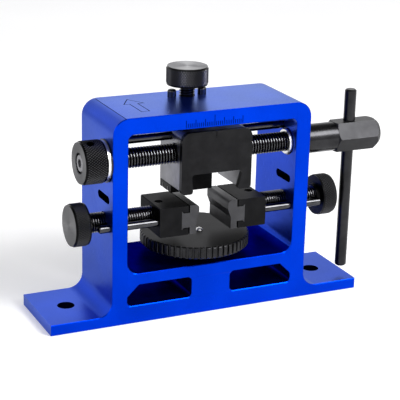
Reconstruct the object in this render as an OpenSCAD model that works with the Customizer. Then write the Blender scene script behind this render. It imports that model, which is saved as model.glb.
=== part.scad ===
// Bench sight pusher: a one-piece portal frame with a lead-screw pusher, two
// screw jaws, a height disk and a hold-down. Millimetres, +Z up, +X along the
// frame towards the hex drive head. The origin is the centre of the base's
// underside, and the front of the frame faces -Y.

/* [Frame] */
// Length of the base, foot end to foot end
base_len = 168; // [160:1:180]
// Depth of the whole frame, front face to back face
frame_depth = 42.4; // [42:0.2:46]
// Thickness of the two feet
foot_t = 5.5; // [4.5:0.5:6.5]
// Outside width of the portal
portal_w = 105.4; // [104:0.2:107]
// Height of the frame
frame_h = 103.9; // [103:0.1:105]
// Thickness of each side wall
wall_t = 7.8; // [7:0.1:8]
// Thickness of the top beam
beam_t = 8.2; // [7.8:0.1:9]
// Height of the window's floor above the bench
floor_z = 25.7; // [24:0.1:26]
// Radius of the outer top corners
corner_r = 8; // [6:0.5:10]
// Radius where each foot runs into its wall
foot_fillet_r = 7.5; // [5:0.5:9]
// Radius of the window's upper corners
window_top_r = 2.8; // [2:0.2:4]
// Radius of the window's lower corners
window_low_r = 6; // [4:0.5:8]
// Distance between the two foot bolt holes
foot_hole_span = 138; // [134:1:142]
// Diameter of the foot bolt holes
foot_hole_d = 8.6; // [6:0.2:9]

/* [Lead screw] */
// Distance of the lead screw's axis in front of the frame's middle
screw_front = 11; // [10:0.5:11]
// Height of the lead screw's axis
screw_z = 81.5; // [81:0.5:82]
// Thread diameter of the lead screw
screw_d = 10; // [9:0.5:10]
// Diameter of the round collar outside the right wall
collar_d = 14.8; // [13:0.2:15]
// Size across the flats of the drive hexagon
hex_af = 15; // [14:0.5:16]
// X where the collar ends and the hexagon begins
hex_x = 71.2; // [70:0.2:72]
// Length of the drive hexagon
hex_len = 25; // [24:0.5:27]
// X of the cross hole for the tommy bar
bar_x = 80.7; // [80:0.1:83]
// Diameter of the tommy bar
bar_d = 6; // [5:0.5:6]
// Length of the tommy bar
bar_len = 95.4; // [80:0.2:97]
// Length of tommy bar standing above the lead screw's axis
bar_above = 23.9; // [20:0.1:30]

/* [Knobs] */
// Diameter of the knurled knobs
knob_d = 21.2; // [20:0.1:22]
// Thickness of the knob on the lead screw
lead_knob_t = 11.2; // [10:0.1:12]
// Thickness of the two thumbscrew knobs
thumb_knob_t = 7.8; // [7:0.1:9]
// Thickness of the hold-down knob
top_knob_t = 9.3; // [8:0.1:10]
// Chamfer on the rims of every knob
knob_chamfer = 0.6; // [0.4:0.1:1.2]

/* [Pusher] */
// X of the pusher's left side
pusher_x0 = -17; // [-18:0.1:-16]
// X of the pusher's right side
pusher_x1 = 20.6; // [20:0.1:21]
// Height of the pusher's top
pusher_top = 93.4; // [93:0.1:94]
// Height of the roof of the channel that the sight passes through
channel_top = 72.4; // [70:0.1:73]
// X of the shoe's pushing face
shoe_face = 5.4; // [3:0.1:7]
// Thickness of the pusher's face plate
plate_t = 2.6; // [2:0.1:3]

/* [Jaws] */
// X of the left jaw's nose
left_nose = -7.2; // [-8:0.1:-6.8]
// X of the right jaw's nose
right_nose = 8.6; // [8:0.1:9]
// Height of the jaws' underside
jaw_low = 42.2; // [42:0.1:43]
// Height of the jaws' top
jaw_top = 57; // [56:0.1:57.5]
// Depth of the jaws, front to back
jaw_depth = 24.4; // [23:0.2:26]
// Y of the middle of the jaws
jaw_y = -8.2; // [-8.4:0.1:-8]
// Y of the thumbscrews' axis
thumb_y = -8.8; // [-9:0.1:-8.6]
// Height of the thumbscrews' axis
thumb_z = 50.2; // [50:0.1:50.4]
// Thread diameter of the thumbscrews
thumb_d = 10; // [9:0.5:10]
// Diameter of the guide rods
rod_d = 4; // [3:0.5:4]

/* [Height disk] */
// Diameter of the height disk over its teeth
disk_d = 55.2; // [50:0.2:57]
// Height of the disk's top face
disk_top = 36.5; // [36:0.1:37]
// Thickness of the disk's toothed rim
disk_t = 6; // [5:0.1:6.2]
// Number of grip teeth on the disk
disk_teeth = 56; // [40:2:60]
// Thread diameter of the height stud
stud_d = 12; // [10:0.5:12]

/* [Hold-down] */
// X of the hold-down screw
hold_x = -1; // [-1.5:0.1:-0.5]
// Y of the hold-down screw
hold_y = 10.5; // [10.4:0.1:11]
// Distance from the hold-down screw to each guide pin
pin_off = 8.2; // [7.8:0.1:8.6]
// Diameter of the hold-down's guide pins
pin_d = 4.4; // [4:0.2:4.6]

/* [Hidden] */
$fn = 64;

slip = 0.05;
eps = 0.5;
portal_half = portal_w / 2;
window_half = portal_half - wall_t;
beam_low = frame_h - beam_t;
front_y = -frame_depth / 2;
screw_y = -screw_front;

// Lead screw train, from its left end to its right end
bush_flange_t = 0.6;
washer_t = 1.5;
lead_knob_x1 = -portal_half - bush_flange_t - washer_t;
lead_knob_x0 = lead_knob_x1 - lead_knob_t;
knob_recess = 2.6;
knob_bolt_head_t = 2.2;
journal_r = 4;
bush_r = 6;
flange_r = 10.5;
right_bush_r = 7;
ring_r = 6.6;
ring_t = 1.3;
ring_gap = 0.1;
grub_x = -61.3;
grub_r = 2;
grub_turn = 16;
grub_sink = 3;
knob_bolt_r = 2.5;
knob_bolt_depth = 10;

// Upper guide rod, drilled from the left and blind in the right wall
upper_rod_y = -6;
upper_rod_z = 89;
upper_rod_blind = 5;

// Frame details
foot_slot_half_h = 2;
wall_slot_y = -9;
wall_slot_z = 62.8;
wall_slot_len = 15;
beam_slot = [[10.5, 9.2], [44.8, 9.2], [44.8, 14], [38.8, 19.8], [10.5, 19.8]];
beam_slot_r = [2.2, 2.2, 1.5, 1.5, 2.2];
mark_depth = 0.3;
mark_w = 0.34;
mark_reach = 15;
mark_zero_x = -0.5;
mark_low = beam_low + 0.8;
mark_heights = [5.3, 3.7, 2.1];
line_x = -46.2;
arrow_x = -32.4;
arrow_w = 0.45;
plate_mark_x = 1.1;

// Jaw, measured from its nose towards the wall
lip_back = 5.6;
tongue_back = 9.2;
jaw_back = 20.8;
pad_gap = 0.7;
tongue_gap = 0.35;
tongue_low = jaw_low + 2.8;
tongue_high = jaw_top - 2.8;
undercut = 0.5;
jaw_grub_back = 16.7;
jaw_grub_sink = 0.6;
jaw_grub_slack = 0.2;
thumb_groove_r = 4;
thumb_hub_r = 6.2;
screw_end_back = 13.5;
thumb_inner_back = 55.2;
jaw_rod_y = -17.2;
jaw_rod_z = 49.4;
jaw_rod_in_back = 10.5;
left_rod_end = -58.3;
right_rod_end = 62;

// Pusher
plate_y = -20.4;
body_y0 = plate_y + plate_t;
body_y1 = 5.8;
left_leg_low = 64.1;
right_leg_low = 62.6;
left_leg_in = -11.8;
right_leg_in = 15.2;
shoe_low = 60.2;
shoe_y0 = -7.6;
shoe_y1 = 5.6;
pusher_corner_r = 4.5;
shoe_bolt_r = 1.5;
shoe_head_r = 2.6;
shoe_bolt_x = -14.4;
shoe_bolt_ys = [-4, 2.4];
plate_bolt_r = 1;
plate_head_r = 1.9;
plate_head_t = 2;
plate_bolt_xs = [-12.5, 16];
plate_bolt_z = 74.6;

// Hold-down
top_knob_z = 109.7;
hold_low = 82;
hold_t = 5;
hold_y0 = 6.4;
hold_y1 = 14.6;
hold_half_w = 11.6;
top_thread_r = 4;
neck_r = 2.5;
pin_top = 107.6;
clip_t = 0.8;

// Height disk
disk_low = disk_top - disk_t;
thrust_t = 2;
thrust_r = 10;
stud_neck_r = 3;
stud_low = 9;
neck_step = 4;
key_x = 2;
key_y = -1.6;
key_r = 1.8;
tooth_depth = 0.9;
disk_chamfer = 0.7;

// Unit vector along v
function unit(v) = v / norm(v);

// Turn from angle a to angle b, in degrees, the short way round
function short_turn(a, b) = let(d = b - a) d > 180 ? d - 360 : d < -180 ? d + 360 : d;

// Points of the arc of radius r that rounds corner b between a and c
function corner_arc(a, b, c, r, n) =
    let(u = unit(a - b), v = unit(c - b), half = acos(u * v) / 2,
        centre = b + unit(u + v) * r / sin(half),
        p = b + u * r / tan(half) - centre, q = b + v * r / tan(half) - centre,
        start = atan2(p[1], p[0]), turn = short_turn(start, atan2(q[1], q[0])))
    [for (k = [0:n]) centre + r * [cos(start + turn * k / n), sin(start + turn * k / n)]];

// Outline through the corners p, each rounded by its radius in r
function rounded(p, r, n = 8) =
    [for (i = [0:len(p) - 1])
        for (q = corner_arc(p[(i + len(p) - 1) % len(p)], p[i], p[(i + 1) % len(p)], r[i], n)) q];

// Solid of revolution about the X line through (y, z); outline is [radius, x]
module turned_x(y, z, outline) {
    translate([0, y, z]) rotate([0, 90, 0]) rotate_extrude() polygon(outline);
}

// Solid of revolution about the Z line through (x, y); outline is [radius, z]
module turned_z(x, y, outline) {
    translate([x, y, 0]) rotate_extrude() polygon(outline);
}

// Plain round bar along X
module bar_x(r, x0, x1, y, z) {
    translate([x0, y, z]) rotate([0, 90, 0]) cylinder(h = x1 - x0, r = r);
}

// Plain round bar along Z
module bar_z(r, z0, z1, x, y) {
    translate([x, y, z0]) cylinder(h = z1 - z0, r = r);
}

// Plain round bar along Y
module bar_y(r, y0, y1, x, z) {
    translate([x, y1, z]) rotate([90, 0, 0]) cylinder(h = y1 - y0, r = r);
}

// Profile drawn in X and Z, extruded along Y from y0 to y1
module slab_y(y0, y1) {
    translate([0, y1, 0]) rotate([90, 0, 0]) linear_extrude(height = y1 - y0) children();
}

// Outline [radius, position] of a bar with both rims chamfered by c
function chamfered(r, a, b, c) = [[0, a], [r - c, a], [r, a + c], [r, b - c], [r - c, b], [0, b]];

// Six-sided socket along X, with its flats facing up and down
module hex_x_prism(af, x0, x1, y, z) {
    translate([x0, y, z]) rotate([0, 90, 0]) rotate([0, 0, 30])
        cylinder(h = x1 - x0, r = af / sqrt(3), $fn = 6);
}

// Six-sided socket along Y
module hex_y_prism(af, y0, y1, x, z) {
    translate([x, y1, z]) rotate([90, 0, 0]) cylinder(h = y1 - y0, r = af / sqrt(3), $fn = 6);
}

// Six-sided socket along Z
module hex_z_prism(af, z0, z1, x, y) {
    translate([x, y, z0]) cylinder(h = z1 - z0, r = af / sqrt(3), $fn = 6);
}

// ---- Frame ----

module portal_outline() {
    translate([-portal_half, 0]) square([portal_w, frame_h - corner_r]);
    translate([corner_r - portal_half, 0]) square([portal_w - 2 * corner_r, frame_h]);
    for (s = [-1, 1])
        translate([s * (portal_half - corner_r), frame_h - corner_r]) circle(r = corner_r);
}

module foot_fillet() {
    difference() {
        translate([portal_half - eps, foot_t - eps]) square(foot_fillet_r + eps);
        translate([portal_half + foot_fillet_r, foot_t + foot_fillet_r]) circle(r = foot_fillet_r);
    }
}

module window_outline() {
    low_w = 2 * (window_half - window_low_r);
    top_w = 2 * (window_half - window_top_r);
    translate([-window_half, floor_z + window_low_r])
        square([2 * window_half, beam_low - floor_z - window_low_r - window_top_r]);
    translate([-low_w / 2, floor_z]) square([low_w, window_low_r + eps]);
    translate([-top_w / 2, beam_low - window_top_r - eps]) square([top_w, window_top_r + eps]);
    for (s = [-1, 1]) {
        translate([s * low_w / 2, floor_z + window_low_r]) circle(r = window_low_r);
        translate([s * top_w / 2, beam_low - window_top_r]) circle(r = window_top_r);
    }
}

module frame_outline() {
    difference() {
        union() {
            translate([-base_len / 2, 0]) square([base_len, foot_t]);
            portal_outline();
            foot_fillet();
            mirror([1, 0]) foot_fillet();
        }
        window_outline();
        for (s = [0, 1]) mirror([s, 0]) polygon(rounded(beam_slot, beam_slot_r));
    }
}

// Obround slot through both walls
module wall_slots() {
    reach = wall_slot_len / 2 - foot_slot_half_h;
    for (s = [-1, 1])
        bar_x(foot_slot_half_h, -portal_half - 1, portal_half + 1, wall_slot_y + s * reach, wall_slot_z);
    translate([-portal_half - 1, wall_slot_y - reach, wall_slot_z - foot_slot_half_h])
        cube([portal_w + 2, 2 * reach, 2 * foot_slot_half_h]);
}

// Millimetre scale on the front of the top beam, tallest at its middle
module scale_marks() {
    for (i = [-mark_reach:mark_reach]) {
        h = mark_heights[i == 0 ? 0 : i % 5 == 0 ? 1 : 2];
        translate([mark_zero_x + i - mark_w / 2, front_y - 1, mark_low])
            cube([mark_w, 1 + mark_depth, h]);
    }
}

// Arrow along +Y, drawn inset by w from its outline
module arrow_outline(w) {
    shaft = 2.3 - w;
    low = w - 11.6;
    base = 3.2 + w;
    slope = 5.6 / 9.4;
    tip = 12.6 - w * norm([1, slope]) / slope;
    head = (tip - base) * slope;
    polygon([[-shaft, low], [shaft, low], [shaft, base], [head, base], [0, tip], [-head, base],
             [-shaft, base]]);
}

// Fine cross line and outlined arrow on the top face, near the left corner
module top_marks() {
    translate([line_x - mark_w / 2, front_y - 1, frame_h - 1.5 * mark_depth])
        cube([mark_w, frame_depth + 2, 1]);
    translate([arrow_x, 0, frame_h - mark_depth])
        linear_extrude(height = 1) difference() {
            arrow_outline(0);
            arrow_outline(arrow_w);
        }
}

module frame() {
    color("#0a3bd0") difference() {
        slab_y(front_y, -front_y) frame_outline();
        for (s = [-1, 1]) bar_z(foot_hole_d / 2, -1, foot_t + 1, s * foot_hole_span / 2, 0);
        bar_x(bush_r, -portal_half - 1, 0, screw_y, screw_z);
        bar_x(right_bush_r, 0, portal_half + 1, screw_y, screw_z);
        bar_x(rod_d / 2, -portal_half - 1, window_half + upper_rod_blind, upper_rod_y, upper_rod_z);
        bar_x(thumb_d / 2 + slip, -portal_half - 1, portal_half + 1, thumb_y, thumb_z);
        bar_x(rod_d / 2 + slip, -portal_half - 1, portal_half + 1, jaw_rod_y, jaw_rod_z);
        bar_z(top_thread_r + slip, beam_low - 1, frame_h + 1, hold_x, hold_y);
        for (s = [-1, 1])
            bar_z(pin_d / 2 + slip, beam_low - 1, frame_h + 1, hold_x + s * pin_off, hold_y);
        bar_z(stud_d / 2 + slip, -1, floor_z + 1, 0, 0);
        wall_slots();
        scale_marks();
        top_marks();
    }
}

module flange_bush() {
    color("#16171a") turned_x(screw_y, screw_z,
        [[journal_r + slip, -portal_half - bush_flange_t], [flange_r, -portal_half - bush_flange_t],
         [flange_r, -portal_half], [bush_r, -portal_half], [bush_r, -window_half],
         [journal_r + slip, -window_half]]);
}

module right_bush() {
    color("#1b1c1f") turned_x(screw_y, screw_z,
        [[screw_d / 2 + slip, window_half], [right_bush_r, window_half],
         [right_bush_r, portal_half], [screw_d / 2 + slip, portal_half]]);
}

module lead_washer() {
    color("#e6e7ea") turned_x(screw_y, screw_z,
        [[journal_r + slip, lead_knob_x1], [9.8, lead_knob_x1], [10, lead_knob_x1 + 0.2],
         [10, lead_knob_x1 + washer_t], [journal_r + slip, lead_knob_x1 + washer_t]]);
}

module upper_guide_rod() {
    color("#121316")
        bar_x(rod_d / 2, -portal_half, window_half + upper_rod_blind, upper_rod_y, upper_rod_z);
}

// ---- Lead screw ----

// Drive hexagon with both ends turned to a chamfer
module drive_hex() {
    x1 = hex_x + hex_len;
    corner = hex_af / sqrt(3);
    intersection() {
        hex_x_prism(hex_af, hex_x, x1, screw_y, screw_z);
        turned_x(screw_y, screw_z,
            [[0, hex_x], [hex_af / 2, hex_x], [corner + 0.1, hex_x + 0.8],
             [corner + 0.1, x1 - 3], [hex_af / 2 - 1, x1], [0, x1]]);
    }
}

module lead_screw() {
    color("#141518") difference() {
        union() {
            bar_x(journal_r, lead_knob_x0 + knob_recess, -window_half + 1, screw_y, screw_z);
            bar_x(screw_d / 2, -window_half + 0.6, portal_half + 1, screw_y, screw_z);
            turned_x(screw_y, screw_z, chamfered(collar_d / 2, portal_half + ring_gap, hex_x + eps, 0.4));
            drive_hex();
        }
        bar_x(knob_bolt_r, lead_knob_x0, lead_knob_x0 + knob_recess + knob_bolt_depth, screw_y, screw_z);
        bar_z(bar_d / 2 + slip, screw_z - hex_af, screw_z + hex_af, bar_x, screw_y);
    }
}

module stop_ring() {
    x1 = window_half - ring_gap;
    color("#c9ccd2") turned_x(screw_y, screw_z,
        [[screw_d / 2, x1 - ring_t], [ring_r - 0.5, x1 - ring_t], [ring_r, x1 - ring_t + 0.5],
         [ring_r, x1 - 0.3], [ring_r - 0.3, x1], [screw_d / 2, x1]]);
}

// Turns a shape drawn about the X axis into place about the lead screw
module around_lead() {
    translate([0, screw_y, screw_z]) rotate([grub_turn, 0, 0]) children();
}

module lead_knob() {
    floor_x = lead_knob_x0 + knob_recess;
    color("#1c1d20") difference() {
        turned_x(screw_y, screw_z, chamfered(knob_d / 2, lead_knob_x0, lead_knob_x1, knob_chamfer));
        bar_x(journal_r, floor_x - 1, lead_knob_x1 + 1, screw_y, screw_z);
        bar_x(5, lead_knob_x0 - 1, floor_x, screw_y, screw_z);
        around_lead() bar_z(grub_r, 0, knob_d, grub_x, 0);
    }
}

module lead_knob_screw() {
    floor_x = lead_knob_x0 + knob_recess;
    color("#2b2c2f") difference() {
        union() {
            turned_x(screw_y, screw_z, chamfered(4.25, floor_x - knob_bolt_head_t, floor_x, 0.4));
            bar_x(knob_bolt_r, floor_x - eps, floor_x + knob_bolt_depth - 0.5, screw_y, screw_z);
        }
        hex_x_prism(4, floor_x - knob_bolt_head_t - 1, floor_x - 0.6, screw_y, screw_z);
    }
}

module lead_knob_grub() {
    top = knob_d / 2 - grub_sink;
    color("#101113") around_lead() difference() {
        bar_z(grub_r, journal_r, top, grub_x, 0);
        hex_z_prism(2, top - 1.6, top + 1, grub_x, 0);
    }
}

module tommy_bar() {
    z1 = screw_z + bar_above;
    color("#17181b") turned_z(bar_x, screw_y, chamfered(bar_d / 2, z1 - bar_len, z1, 0.7));
}

// ---- Pusher ----

// Front outline of the pusher, with the channel between its two legs
module pusher_outline() {
    polygon(rounded(
        [[pusher_x0, right_leg_low], [-10.6, right_leg_low], [left_leg_in + 0.3, channel_top],
         [right_leg_in + 0.8, channel_top], [13.2, right_leg_low], [pusher_x1, right_leg_low],
         [pusher_x1, pusher_top], [pusher_x0, pusher_top]],
        [2, 1.4, 1.6, 1.6, 0.8, 1.6, pusher_corner_r, pusher_corner_r]));
}

module pusher_body() {
    color("#3a3c40") difference() {
        slab_y(body_y0, body_y1) polygon(rounded(
            [[pusher_x0 + 0.1, left_leg_low], [left_leg_in, left_leg_low], [left_leg_in, channel_top],
             [right_leg_in, channel_top], [right_leg_in, right_leg_low],
             [pusher_x1 - 0.1, right_leg_low], [pusher_x1 - 0.1, pusher_top - 0.1],
             [pusher_x0 + 0.1, pusher_top - 0.1]],
            [0.3, 0.3, 0.3, 0.6, 0.3, 0.6, pusher_corner_r, pusher_corner_r]));
        bar_x(screw_d / 2 + slip, pusher_x0 - 1, pusher_x1 + 1, screw_y, screw_z);
        bar_x(rod_d / 2 + slip, pusher_x0 - 1, pusher_x1 + 1, upper_rod_y, upper_rod_z);
        for (y = shoe_bolt_ys) bar_z(shoe_bolt_r, left_leg_low - 1, left_leg_low + 8, shoe_bolt_x, y);
        for (x = plate_bolt_xs) {
            bar_y(plate_bolt_r, body_y0 - 1, body_y1 + 1, x, plate_bolt_z);
            bar_y(plate_head_r + 0.1, body_y1 - plate_head_t - 0.2, body_y1 + 1, x, plate_bolt_z);
        }
    }
}

module pusher_plate() {
    color("#202124") difference() {
        slab_y(plate_y, body_y0) pusher_outline();
        translate([plate_mark_x - mark_w / 2, plate_y - 1, pusher_top - 3])
            cube([mark_w, 1 + mark_depth, 4]);
        for (x = plate_bolt_xs) bar_y(plate_bolt_r, body_y0 - 1.6, body_y0 + 1, x, plate_bolt_z);
    }
}

// Two socket screws that hold the face plate from behind
module plate_screws() {
    head_y = body_y1 - 0.2;
    color("#1a1b1e") for (x = plate_bolt_xs) difference() {
        union() {
            bar_y(plate_head_r, head_y - plate_head_t, head_y, x, plate_bolt_z);
            bar_y(plate_bolt_r, body_y0 - 1.4, head_y - 1, x, plate_bolt_z);
        }
        hex_y_prism(1.5, head_y - 1, head_y + 1, x, plate_bolt_z);
    }
}

module pusher_shoe() {
    color("#2a2b2f") difference() {
        union() {
            translate([pusher_x0 + 0.1, shoe_y0, shoe_low])
                cube([shoe_face - pusher_x0 - 0.1, shoe_y1 - shoe_y0, left_leg_low - shoe_low]);
            translate([left_leg_in + 0.3, shoe_y0, left_leg_low - eps])
                cube([shoe_face - left_leg_in - 0.3, shoe_y1 - shoe_y0, channel_top - left_leg_low + 0.4]);
        }
        for (y = shoe_bolt_ys) {
            bar_z(shoe_bolt_r, shoe_low - 1, left_leg_low + 1, shoe_bolt_x, y);
            bar_z(shoe_head_r + 0.1, shoe_low - 1, shoe_low + 2.2, shoe_bolt_x, y);
        }
    }
}

// Two socket screws up through the shoe into the pusher's left leg
module shoe_screws() {
    color("#1a1b1e") for (y = shoe_bolt_ys) difference() {
        union() {
            bar_z(shoe_head_r, shoe_low + 0.2, shoe_low + 2.2, shoe_bolt_x, y);
            bar_z(shoe_bolt_r, shoe_low + 1, left_leg_low + 7, shoe_bolt_x, y);
        }
        hex_z_prism(2.5, shoe_low - 1, shoe_low + 1.4, shoe_bolt_x, y);
    }
}

// ---- Jaws ----

// Places a left-hand shape, drawn from its nose at X = 0, on one side
module on_side(side) {
    if (side < 0) translate([left_nose, 0, 0]) children();
    else mirror([1, 0, 0]) translate([-right_nose, 0, 0]) children();
}

module jaw_body(side) {
    on_side(side) difference() {
        slab_y(jaw_y - jaw_depth / 2, jaw_y + jaw_depth / 2) polygon(
            [[-jaw_back + 0.4, jaw_low], [-lip_back, jaw_low], [-lip_back, tongue_low + undercut],
             [-tongue_back + 1, tongue_low + undercut], [-tongue_back, tongue_low - undercut],
             [-tongue_back, tongue_high + undercut], [-tongue_back + 1, tongue_high - undercut],
             [-lip_back, tongue_high - undercut], [-lip_back, jaw_top], [-jaw_back + 0.4, jaw_top],
             [-jaw_back, jaw_top - 0.4], [-jaw_back, jaw_low + 0.4]]);
        bar_x(thumb_d / 2 + slip, -jaw_back - 1, -screw_end_back + 0.3, thumb_y, thumb_z);
        bar_x(rod_d / 2, -jaw_back - 1, -jaw_rod_in_back, jaw_rod_y, jaw_rod_z);
        bar_z(grub_r, thumb_z, jaw_top + 1, -jaw_grub_back, thumb_y);
    }
}

// Gripping pad: a dovetail tongue behind, and a nose that stands proud above
module jaw_pad(side) {
    on_side(side) slab_y(jaw_y - jaw_depth / 2, jaw_y + jaw_depth / 2) polygon(concat(
        [[-lip_back + pad_gap, jaw_low], [-1.7, jaw_low], [-1.6, jaw_low + 0.2], [-1.6, jaw_low + 6]],
        [[0, jaw_top - 4.6]],
        [for (a = [0:15:90]) [-1.6 + 1.6 * cos(a), jaw_top - 1.8 + 1.8 * sin(a)]],
        [[-lip_back + pad_gap, jaw_top], [-lip_back + pad_gap, tongue_high - undercut - tongue_gap],
         [-tongue_back + 1, tongue_high - undercut - tongue_gap],
         [-tongue_back + 0.05, tongue_high + undercut - tongue_gap],
         [-tongue_back + 0.05, tongue_low - undercut + tongue_gap],
         [-tongue_back + 1, tongue_low + undercut + tongue_gap],
         [-lip_back + pad_gap, tongue_low + undercut + tongue_gap]]));
}

// Guide rod pressed into a jaw, from x0 to x1 in the part's frame
module jaw_rod(x0, x1) {
    turned_x(jaw_rod_y, jaw_rod_z, chamfered(rod_d / 2, x0, x1, 0.5));
}

// Grub screw in the jaw's top, whose end sits in the thumbscrew's groove
module jaw_grub(side) {
    top = jaw_top - jaw_grub_sink;
    on_side(side) difference() {
        bar_z(grub_r, thumb_z + thumb_groove_r + jaw_grub_slack, top, -jaw_grub_back, thumb_y);
        hex_z_prism(2, top - 1.2, top + 1, -jaw_grub_back, thumb_y);
    }
}

module thumbscrew(side) {
    r = thumb_d / 2;
    groove_a = -jaw_grub_back - grub_r - jaw_grub_slack;
    groove_b = -jaw_grub_back + grub_r + jaw_grub_slack;
    on_side(side) turned_x(thumb_y, thumb_z,
        [[0, -thumb_inner_back - 5], [r, -thumb_inner_back - 5], [r, groove_a],
         [thumb_groove_r, groove_a], [thumb_groove_r, groove_b], [r, groove_b],
         [r, -screw_end_back - 0.8], [r - 0.8, -screw_end_back], [0, -screw_end_back]]);
}

module thumb_knob(side) {
    x1 = -thumb_inner_back;
    x0 = x1 - thumb_knob_t;
    r = knob_d / 2;
    c = knob_chamfer;
    on_side(side) turned_x(thumb_y, thumb_z,
        [[0, x0], [r - c, x0], [r, x0 + c], [r, x1 - c], [r - c, x1], [thumb_hub_r, x1],
         [thumb_hub_r - 0.4, x1 + 1.6], [thumb_d / 2, x1 + 1.6], [thumb_d / 2, x1 - 5], [0, x1 - 5]]);
}

module left_jaw() { color("#1d1e21") jaw_body(-1); }
module left_jaw_pad() { color("#2e3034") jaw_pad(-1); }
module left_guide_rod() { color("#3c3e42") jaw_rod(left_rod_end, left_nose - jaw_rod_in_back); }
module left_jaw_grub() { color("#101113") jaw_grub(-1); }
module left_thumbscrew() { color("#141518") thumbscrew(-1); }
module left_thumb_knob() { color("#1c1d20") thumb_knob(-1); }
module right_jaw() { color("#1d1e21") jaw_body(1); }
module right_jaw_pad() { color("#2e3034") jaw_pad(1); }
module right_guide_rod() { color("#3c3e42") jaw_rod(right_nose + jaw_rod_in_back, right_rod_end); }
module right_jaw_grub() { color("#101113") jaw_grub(1); }
module right_thumbscrew() { color("#141518") thumbscrew(1); }
module right_thumb_knob() { color("#1c1d20") thumb_knob(1); }

// ---- Hold-down ----

module hold_down_plate() {
    color("#1f2023") difference() {
        translate([hold_x - hold_half_w, hold_y0, hold_low])
            cube([2 * hold_half_w, hold_y1 - hold_y0, hold_t]);
        bar_z(neck_r + slip, hold_low - 1, hold_low + hold_t + 1, hold_x, hold_y);
        for (s = [-1, 1])
            bar_z(pin_d / 2, hold_low + 1, hold_low + hold_t + 1, hold_x + s * pin_off, hold_y);
    }
}

// Guide pin with a rounded top, pressed into the plate
module guide_pin(side) {
    r = pin_d / 2;
    dome = [for (a = [0:15:90]) [r - 1 + cos(a), pin_top - 1 + sin(a)]];
    turned_z(hold_x + side * pin_off, hold_y,
        concat([[0, hold_low + 1], [r, hold_low + 1]], dome, [[0, pin_top]]));
}

module hold_down_pin_left() { color("#131417") guide_pin(-1); }
module hold_down_pin_right() { color("#131417") guide_pin(1); }

module top_screw() {
    neck_top = hold_low + hold_t + ring_gap;
    groove_top = hold_low - ring_gap;
    groove_low = groove_top - clip_t;
    color("#141518") turned_z(hold_x, hold_y,
        [[0, groove_low - 1.2], [neck_r, groove_low - 1.2], [neck_r, groove_low],
         [1.9, groove_low], [1.9, groove_top], [neck_r, groove_top], [neck_r, neck_top],
         [top_thread_r, neck_top], [top_thread_r, top_knob_z + 5], [0, top_knob_z + 5]]);
}

module top_knob() {
    r = knob_d / 2;
    c = knob_chamfer;
    z1 = top_knob_z + top_knob_t;
    color("#1c1d20") turned_z(hold_x, hold_y,
        [[top_thread_r, top_knob_z], [r - c, top_knob_z], [r, top_knob_z + c], [r, z1 - c],
         [r - c, z1], [0, z1], [0, top_knob_z + 5], [top_thread_r, top_knob_z + 5]]);
}

// Spring clip, open on one side, that holds the plate on the screw's neck
module hold_down_clip() {
    z0 = hold_low - ring_gap - clip_t;
    color("#8b8e94") translate([hold_x, hold_y, z0]) difference() {
        cylinder(h = clip_t, r = 3.8);
        translate([0, 0, -1]) cylinder(h = 3, r = 1.9);
        translate([-1.5, 0, -1]) cube([3, 5, 3]);
    }
}

// ---- Height disk ----

module thrust_washer() {
    color("#55585e") turned_z(0, 0,
        [[stud_d / 2 + slip, disk_low - thrust_t], [thrust_r, disk_low - thrust_t],
         [thrust_r, disk_low], [stud_d / 2 + slip, disk_low]]);
}

module height_disk() {
    r = disk_d / 2;
    step_z = disk_low + neck_step;
    color("#26272b") difference() {
        turned_z(0, 0,
            [[stud_d / 2, disk_low], [r - disk_chamfer, disk_low], [r, disk_low + disk_chamfer],
             [r, disk_top - disk_chamfer], [r - disk_chamfer, disk_top], [stud_neck_r, disk_top],
             [stud_neck_r, step_z], [stud_d / 2, step_z]]);
        for (i = [0:disk_teeth - 1]) rotate([0, 0, i * 360 / disk_teeth])
            translate([r - tooth_depth, -0.55, disk_low - 1]) cube([3, 1.1, disk_t + 2]);
        bar_z(key_r, disk_top - 1.8, disk_top + 1, key_x, key_y);
    }
}

module height_stud() {
    step_z = disk_low + neck_step;
    color("#141518") difference() {
        turned_z(0, 0,
            [[0, stud_low], [stud_d / 2 - 1, stud_low], [stud_d / 2, stud_low + 1],
             [stud_d / 2, step_z], [stud_neck_r, step_z], [stud_neck_r, disk_top], [0, disk_top]]);
        bar_z(key_r, disk_top - 1.8, disk_top + 1, key_x, key_y);
    }
}

// Domed key screw on the joint between the disk and the stud's neck
module disk_key() {
    dome = [for (a = [0:15:90]) [key_r * cos(a), disk_top + 1.3 * sin(a)]];
    color("#d9dbe0") turned_z(key_x, key_y, concat([[0, disk_top - 1.8], [key_r, disk_top - 1.8]], dome));
}

frame();
flange_bush();
right_bush();
lead_washer();
upper_guide_rod();
lead_screw();
stop_ring();
lead_knob();
lead_knob_screw();
lead_knob_grub();
tommy_bar();
pusher_body();
pusher_plate();
plate_screws();
pusher_shoe();
shoe_screws();
left_jaw();
left_jaw_pad();
left_guide_rod();
left_jaw_grub();
left_thumbscrew();
left_thumb_knob();
right_jaw();
right_jaw_pad();
right_guide_rod();
right_jaw_grub();
right_thumbscrew();
right_thumb_knob();
hold_down_plate();
hold_down_pin_left();
hold_down_pin_right();
top_screw();
top_knob();
hold_down_clip();
thrust_washer();
height_disk();
height_stud();
disk_key();
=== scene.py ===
# Bench sight pusher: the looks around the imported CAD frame. Metres, +Z up, and the front of the
# frame faces -Y. The blue frame, the threads, the knurls and the toothed disk are built here; the
# other CAD nodes are shown as they are. The frame's own drawing is in millimetres.
import math

import bmesh
import bpy
from mathutils import Matrix, Quaternion, Vector


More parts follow.
